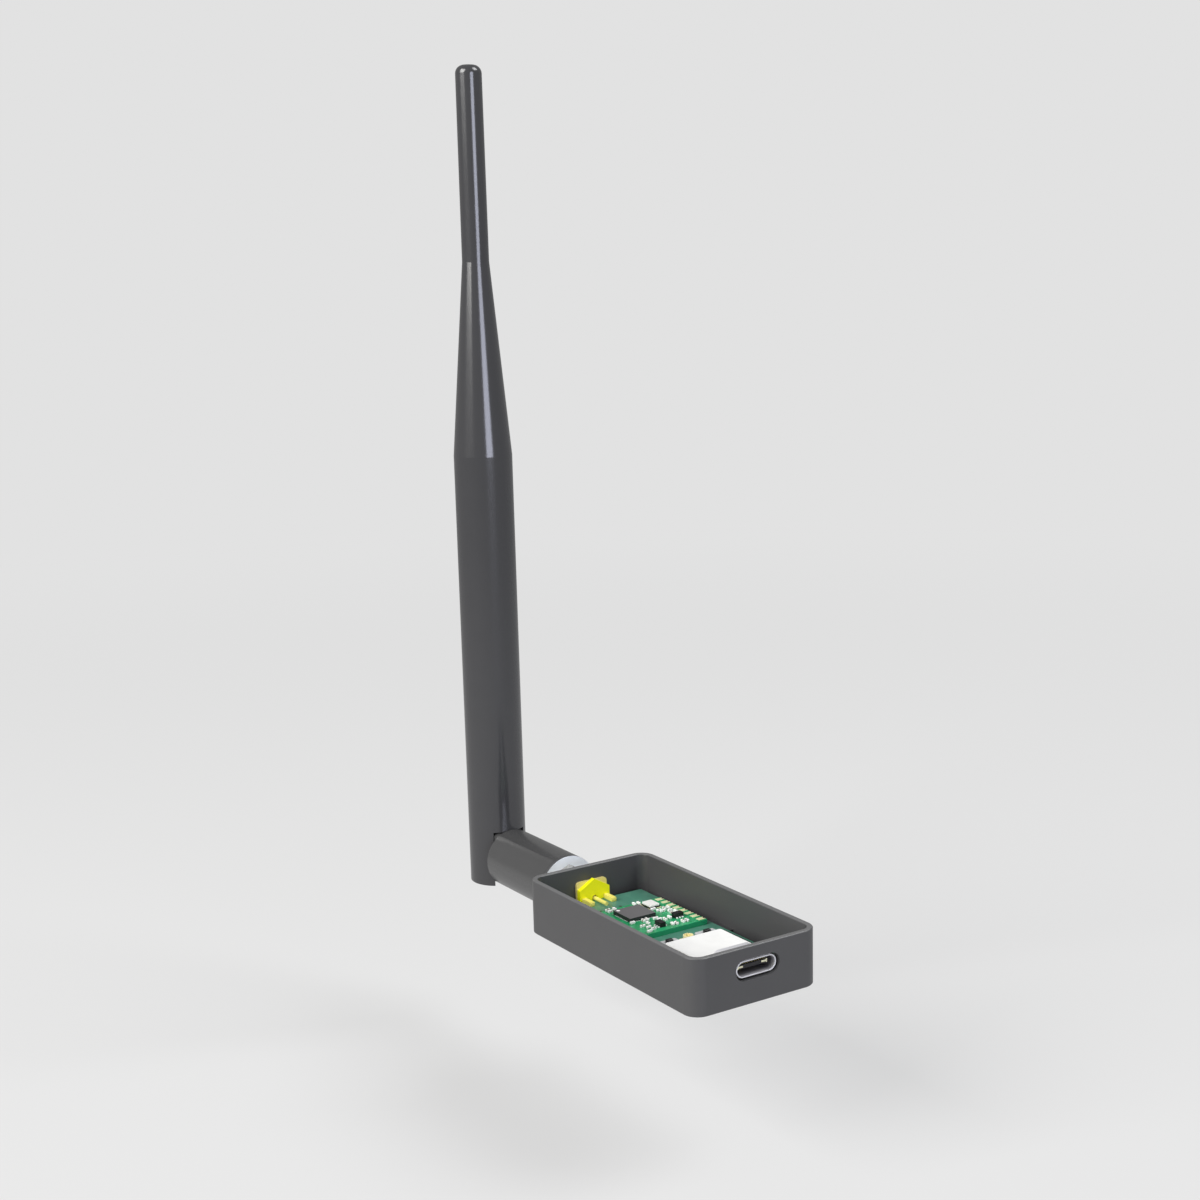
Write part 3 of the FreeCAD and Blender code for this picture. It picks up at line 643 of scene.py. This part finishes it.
# Flat tracks along the edges of the base mesh, with rounded corners
def track_tree():
    tree, given = new_tree("tracks", (("Width", "Float"), ("Height", "Float"), ("Bend", "Float"),
                                      ("Material", "Material")))
    curve = add_node(tree, "GeometryNodeMeshToCurve", {"Mesh": given["Geometry"]})
    bent = add_node(tree, "GeometryNodeFilletCurve", {"Curve": curve.outputs[0], "Radius": given["Bend"],
                                                      "Count": bend_steps}, mode="POLY")
    level = add_node(tree, "GeometryNodeSetCurveNormal", {"Curve": bent.outputs[0]}, mode="Z_UP")
    section = add_node(tree, "GeometryNodeCurvePrimitiveQuadrilateral",
                       {"Width": given["Width"], "Height": given["Height"]})
    ribbon = add_node(tree, "GeometryNodeCurveToMesh", {"Curve": level.outputs[0],
                                                        "Profile Curve": section.outputs[0],
                                                        "Fill Caps": True})
    return end_tree(tree, ribbon.outputs[0], given["Material"])


# A turned piece: the base mesh's points are its outline, radius along X and height along Z. A grid
# is wound round it, one row of points for each point of the outline
def turned_tree():
    tree, given = new_tree("turned", (("Around", "Int"), ("Centre", "Vector"), ("Material", "Material")))
    count = add_node(tree, "GeometryNodeAttributeDomainSize", {"Geometry": given["Geometry"]})
    rows = count.outputs["Point Count"]
    grid = add_node(tree, "GeometryNodeMeshGrid",
                    {"Size X": 1.0, "Size Y": 1.0, "Vertices X": calculate(tree, "ADD", given["Around"], 1.0),
                     "Vertices Y": rows})
    place = add_node(tree, "GeometryNodeInputPosition", {})
    share = axes_of(tree, place.outputs[0])
    angle = calculate(tree, "MULTIPLY_ADD", share["X"], 2 * math.pi, math.pi)
    last = calculate(tree, "SUBTRACT", rows, 1.0)
    row = calculate(tree, "ROUND", calculate(tree, "MULTIPLY", calculate(tree, "ADD", share["Y"], 0.5), last))
    outline = add_node(tree, "GeometryNodeSampleIndex",
                       {"Geometry": given["Geometry"], "Value": place.outputs[0], "Index": row},
                       data_type="FLOAT_VECTOR")
    found = axes_of(tree, find_socket(outline.outputs, "Value"))
    x = calculate(tree, "MULTIPLY", found["X"], calculate(tree, "COSINE", angle))
    y = calculate(tree, "MULTIPLY", found["X"], calculate(tree, "SINE", angle))
    spun = add_node(tree, "ShaderNodeCombineXYZ", {"X": x, "Y": y, "Z": found["Z"]})
    moved = add_node(tree, "GeometryNodeSetPosition", {"Geometry": grid.outputs["Mesh"],
                                                       "Position": spun.outputs[0]})
    closed = add_node(tree, "GeometryNodeMergeByDistance", {"Geometry": moved.outputs[0],
                                                            "Distance": seam_distance})
    centred = add_node(tree, "GeometryNodeTransform", {"Geometry": closed.outputs[0],
                                                       "Translation": given["Centre"]})
    return end_tree(tree, centred.outputs[0], given["Material"])


single_bricks = brick_tree("bricks", False)
twin_bricks = brick_tree("twin_bricks", True)
dots = dot_tree()
tracks = track_tree()
turned = turned_tree()


# An outline of corners, each given as radius, height and rounding, with arcs at the rounded ones
def rounded_outline(corners):
    points = []
    for index, (radius, height, rounding) in enumerate(corners):
        corner = Vector((radius, 0.0, height))
        if rounding == 0:
            points.append(corner)
            continue
        before, after = ((Vector((corners[near][0], 0.0, corners[near][1])) - corner).normalized()
                         for near in (index - 1, index + 1))
        half = before.angle(after) / 2
        centre = corner + (before + after).normalized() * (rounding / math.sin(half))
        start, end = (corner + side * (rounding / math.tan(half)) - centre for side in (before, after))
        sweep = start.angle(end)
        for step in range(arc_steps + 1):
            share = step / arc_steps
            mixed = start * math.sin((1 - share) * sweep) + end * math.sin(share * sweep)
            points.append(centre + mixed / math.sin(sweep))
    return points


def turned_mesh(name, corners, centre, around, material):
    base = bpy.data.meshes.new(name)
    base.from_pydata(rounded_outline(corners), [], [])
    return grown(name, turned, base, {"Around": around, "Centre": centre, "Material": material})


def box_shape(name, low, high):
    shape = bmesh.new()
    bmesh.ops.create_cube(shape, size=1.0)
    low, high = Vector(low), Vector(high)
    bmesh.ops.scale(shape, verts=shape.verts, vec=high - low)
    bmesh.ops.translate(shape, verts=shape.verts, vec=(low + high) / 2)
    return from_bmesh(name, shape)


def rod_shape(name, radius, start, end):
    shape = bmesh.new()
    start, end = Vector(start), Vector(end)
    bmesh.ops.create_cone(shape, cap_ends=True, segments=bore_sides, radius1=radius, radius2=radius,
                          depth=(end - start).length)
    turn = Vector((0, 0, 1)).rotation_difference(end - start).to_matrix()
    bmesh.ops.rotate(shape, verts=shape.verts, matrix=turn, cent=(0, 0, 0))
    bmesh.ops.translate(shape, verts=shape.verts, vec=(start + end) / 2)
    return from_bmesh(name, shape)


# Antenna mast: a turned moulding, hollow, with the slot and pin sockets of its knuckle cut in it
def build_mast():
    low, high = corners_of("mast_sleeve")
    radius = (high.x - low.x) / 2
    centre = Vector((0.0, (low.y + high.y) / 2, 0.0))
    outside = [(0.0, low.z, 0.0), (radius, low.z, foot_round), (radius, cone_start, cone_round),
               (neck_radius, cone_end, cone_round), (tip_radius, high.z, tip_round), (0.0, high.z, 0.0)]
    bore = radius - mast_wall
    inside = [(0.0, bore_start, 0.0), (bore, bore_start, 0.0), (bore, cone_start - mast_wall / 2, 0.0),
              (tip_bore, cone_end - mast_wall, 0.0), (tip_bore, high.z - tip_wall, 0.0),
              (0.0, high.z - tip_wall, 0.0)]
    finish = finish_for("mast_sleeve")
    mast = turned_mesh("mast_dressed", outside, centre, mast_sides, finish)
    pin_low, pin_high = corners_of("hinge_pin")
    pin_radius = (pin_high.z - pin_low.z) / 2 + pin_clearance
    pin_middle = (pin_low + pin_high) / 2
    reach = Vector((pin_high.x + pin_clearance, 0.0, 0.0))
    cutters = [
        turned_mesh("bore", inside, centre, bore_sides, finish),
        rod_shape("cable_hole", cable_hole, (0, centre.y, slot_ceiling - past_cut),
                  (0, centre.y, bore_start + past_cut)),
        box_shape("slot", (-slot_half, low.y - past_cut, low.z - past_cut),
                  (slot_half, high.y + past_cut, slot_ceiling)),
        rod_shape("pin_sockets", pin_radius, pin_middle - reach, pin_middle + reach),
    ]
    for cutter in cutters:
        cut = mast.modifiers.new(cutter.name, "BOOLEAN")
        cut.operation = "DIFFERENCE"
        cut.solver = "EXACT"
        cut.object = cutter
    bake_modifiers(mast)
    for cutter in cutters:
        bpy.data.objects.remove(cutter)
    smooth_by_angle(mast, mast_smooth)
    dressed(mast, "mast_sleeve")


# Separate solids of a node: the lowest and highest corner of each
def solids_of(node):
    shape = merged(node)
    left = set(shape.verts)
    found = []
    while left:
        near = [left.pop()]
        members = []
        while near:
            vertex = near.pop()
            members.append(vertex.co.copy())
            for edge in vertex.link_edges:
                other = edge.other_vert(vertex)
                if other in left:
                    left.remove(other)
                    near.append(other)
        found.append(tuple(Vector([end(point[axis] for point in members) for axis in range(3)])
                           for end in (min, max)))
    shape.free()
    found.sort(key=lambda corners: tuple(corners[0]))
    return found


# Chip capacitors and resistors: a ceramic body and two tinned ends, on each solid of the node
def build_chip_parts(node):
    boxes = solids_of(node)
    size = boxes[0][1] - boxes[0][0]
    length, width, height = max(size.x, size.y), min(size.x, size.y), size.z
    places = [(low + high) / 2 for low, high in boxes]
    turns = [0.0 if high.x - low.x > high.y - low.y else math.pi / 2 for low, high in boxes]
    base = points_mesh(node + "_places", places, turns)
    cap = length * cap_share
    inner = [side - 2 * cap_wrap for side in (length, width, height)]
    bodies = grown(node + "_bodies", single_bricks, base, brick_sizes(inner, finish_for(node)))
    round_edges(bodies, ceramic_edge, segments=1)
    dressed(bodies, node)
    ends = grown(node + "_ends", twin_bricks, base.copy(),
                 brick_sizes((cap, width, height), finishes["tinned_leads"], (length - cap) / 2))
    round_edges(ends, cap_edge, edge_segments)
    smooth_by_angle(ends, cap_smooth)
    added(ends, node)


# Solder lands: round the radio chip, and under the crystal's corners
def build_lands():
    middle = (chip_low + chip_high) / 2
    half = (chip_high.x - chip_low.x) / 2 + chip_land_shift
    level = chip_low.z + chip_land[2] / 2
    places = []
    turns = []
    for step in range(chip_land_rows):
        shift = (step - (chip_land_rows - 1) / 2) * chip_land_pitch
        for side in (-1, 1):
            places.append((middle.x + side * half, middle.y + shift, level))
            turns.append(0.0)
            places.append((middle.x + shift, middle.y + side * half, level))
            turns.append(math.pi / 2)
    lands = grown("chip_lands", single_bricks, points_mesh("chip_lands", places, turns),
                  brick_sizes(chip_land, finishes["tinned_leads"]))
    added(lands, "radio_chip")
    low, high = corners_of("crystal_base")
    inset_x, inset_y = crystal_land_inset
    places = [(x, y, low.z + crystal_land[2] / 2) for x in (low.x + inset_x, high.x - inset_x)
              for y in (low.y + inset_y, high.y - inset_y)]
    lands = grown("crystal_lands", single_bricks, points_mesh("crystal_lands", places),
                  brick_sizes(crystal_land, own_finishes["radio_pads"]))
    added(lands, "radio_pads")


# Tracks along routes of points, and vias at places
def lay_tracks(name, routes, width, bend, material, node):
    points = []
    edges = []
    for route in routes:
        first = len(points)
        points.extend(route)
        edges.extend((first + step, first + step + 1) for step in range(len(route) - 1))
    mesh = bpy.data.meshes.new(name)
    mesh.from_pydata(points, edges, [])
    laid = grown(name, tracks, mesh, {"Width": width, "Height": track_height, "Bend": bend,
                                      "Material": material})
    added(laid, node)


def lay_vias(name, places, material, node):
    laid = grown(name, dots, points_mesh(name, places),
                 {"Radius": via_radius, "Height": via_height, "Material": material})
    added(laid, node)


# A wide feed from the module to the socket's pin, fine tracks from the module's right pads, and
# vias on both boards
def build_tracks():
    board_low, board_high = corners_of("radio_board")
    pin_low = corners_of("socket_pin")[0]
    carrier_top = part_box("carrier_board")[1][2]
    carrier_green = finishes["carrier_laminate"]
    feed = [(0.0, board_high.y - feed_tuck, carrier_top), (0.0, pin_low.y + feed_past_pin, carrier_top)]
    lay_tracks("feed_track", [feed], feed_width, 0.0, carrier_green, "carrier_board")
    right_pads = [(low, high) for low, high in solids_of("radio_pads")
                  if low.x > (board_low.x + board_high.x) / 2]
    routes = []
    for index, (low, high) in enumerate(right_pads):
        start = Vector((low.x, (low.y + high.y) / 2, board_high.z))
        jog = track_jogs[index % len(track_jogs)]
        routes.append([start, start + Vector((-track_stub, 0, 0)),
                       start + Vector((-jog, -track_aside, 0)),
                       start + Vector((-jog - track_tail, -track_aside, 0))])
    lay_tracks("module_tracks", routes, track_width, track_bend, track_green, "radio_board")
    spots = [(board_low.x + x * mm, board_low.y + y * mm, board_high.z) for x, y in module_via_places]
    lay_vias("module_vias", spots, track_green, "radio_board")
    spots = [(side * carrier_via_side, carrier_via_start + carrier_via_pitch * row, carrier_top)
             for side in (-1, 1) for row in range(carrier_via_rows)]
    lay_vias("carrier_vias", spots, carrier_green, "carrier_board")


# Where it is mirrored, the backdrop or floor has only a share of the strength that it is seen with
def mirrored_strength(tree, path):
    return calculate(tree, "MULTIPLY_ADD", path["Is Glossy Ray"], mirrored_share - 1.0, 1.0)


# Floor: it keeps the shadow near the object, and fades to the backdrop's colour further out
def build_floor():
    shape = bmesh.new()
    bmesh.ops.create_grid(shape, x_segments=1, y_segments=1, size=floor_reach)
    bmesh.ops.translate(shape, verts=shape.verts, vec=(0, 0, floor_level))
    floor = from_bmesh("floor", shape)
    material, tree, shader, place = material_parts("floor")
    strength = mirrored_strength(tree, tree.nodes.new("ShaderNodeLightPath").outputs)
    set_inputs(tree, shader, {
        "Base Color": opaque(floor_colour), "Roughness": floor_roughness, "Specular IOR Level": 0.0,
        "Emission Color": white, "Emission Strength": calculate(tree, "MULTIPLY", strength, floor_lift)})
    glow = add_node(tree, "ShaderNodeEmission", {"Color": opaque(backdrop_colour), "Strength": strength})
    distance = add_node(tree, "ShaderNodeVectorMath", {0: place}, operation="LENGTH")
    fade = spread(tree, distance.outputs["Value"], 0.0, 1.0, floor_near, floor_far,
                  interpolation_type="SMOOTHSTEP")
    mix = add_node(tree, "ShaderNodeMixShader", {0: fade, 1: shader.outputs[0], 2: glow.outputs[0]})
    set_inputs(tree, tree.nodes["Material Output"], {"Surface": mix.outputs[0]})
    floor.data.materials.append(material)


# World: the backdrop's colour where it is seen or mirrored, and a weaker sky for the light
def build_world():
    world = bpy.data.worlds.new("studio")
    world.use_nodes = True
    bpy.context.scene.world = world
    tree = world.node_tree
    path = tree.nodes.new("ShaderNodeLightPath").outputs
    sky = tree.nodes["Background"]
    set_inputs(tree, sky, {"Color": white, "Strength": sky_strength})
    seen = add_node(tree, "ShaderNodeBackground", {"Color": opaque(backdrop_colour),
                                                   "Strength": mirrored_strength(tree, path)})
    either = calculate(tree, "MAXIMUM", path["Is Camera Ray"], path["Is Glossy Ray"])
    shown = calculate(tree, "MAXIMUM", either, path["Is Transmission Ray"])
    mix = add_node(tree, "ShaderNodeMixShader", {0: shown, 1: sky.outputs[0], 2: seen.outputs[0]})
    set_inputs(tree, tree.nodes["World Output"], {"Surface": mix.outputs[0]})


# A direction from the object, at an azimuth from the front towards +X, and an elevation
def direction_at(azimuth, elevation):
    azimuth, elevation = math.radians(azimuth), math.radians(elevation)
    return Vector((math.sin(azimuth) * math.cos(elevation), -math.cos(azimuth) * math.cos(elevation),
                   math.sin(elevation)))


def build_lamp(name, azimuth, elevation, width, height, power, colour):
    direction = direction_at(azimuth, elevation)
    lamp = bpy.data.lights.new(name, "AREA")
    lamp.shape = "RECTANGLE"
    lamp.size = width
    lamp.size_y = height
    lamp.energy = power
    lamp.color = colour
    holder = bpy.data.objects.new(name, lamp)
    holder.location = lamp_target + direction * lamp_reach
    holder.rotation_euler = (-direction).to_track_quat("-Z", "Y").to_euler()
    holder.visible_camera = False
    bpy.context.scene.collection.objects.link(holder)


def build_camera():
    back = direction_at(camera_azimuth, camera_elevation)
    turn = math.radians(camera_azimuth)
    level = Vector((math.cos(turn), math.sin(turn), 0.0))
    above = back.cross(level)
    right = math.cos(camera_roll) * level + math.sin(camera_roll) * above
    up = math.cos(camera_roll) * above - math.sin(camera_roll) * level
    lens = bpy.data.cameras.new("camera")
    lens.lens = camera_lens
    lens.sensor_width = sensor_width
    lens.shift_x, lens.shift_y = camera_shift
    lens.clip_start, lens.clip_end = camera_range
    holder = bpy.data.objects.new("camera", lens)
    turned_to = Matrix((right, up, back)).transposed().to_4x4()
    holder.matrix_world = Matrix.Translation(camera_place) @ turned_to
    bpy.context.scene.collection.objects.link(holder)
    bpy.context.scene.camera = holder


for node, piece in nodes.items():
    paint(piece, node)
for node, width in edge_widths.items():
    soften(node, width * mm)
build_mast()
build_chip_parts("radio_small_parts")
build_chip_parts("controller_small_parts")
build_lands()
build_tracks()

build_floor()
build_world()
build_lamp("key", azimuth=-88.0, elevation=31.2, width=1.2, height=1.3, power=42.0,
           colour=(1.0, 0.99, 0.97))
build_lamp("front", azimuth=50.0, elevation=50.0, width=0.9, height=0.9, power=18.5,
           colour=(0.98, 0.99, 1.0))
build_lamp("strip", azimuth=-2.0, elevation=8.0, width=0.80, height=0.52, power=9.0,
           colour=(0.80, 0.83, 1.0))
build_camera()
bpy.context.scene.view_settings.view_transform = "Standard"
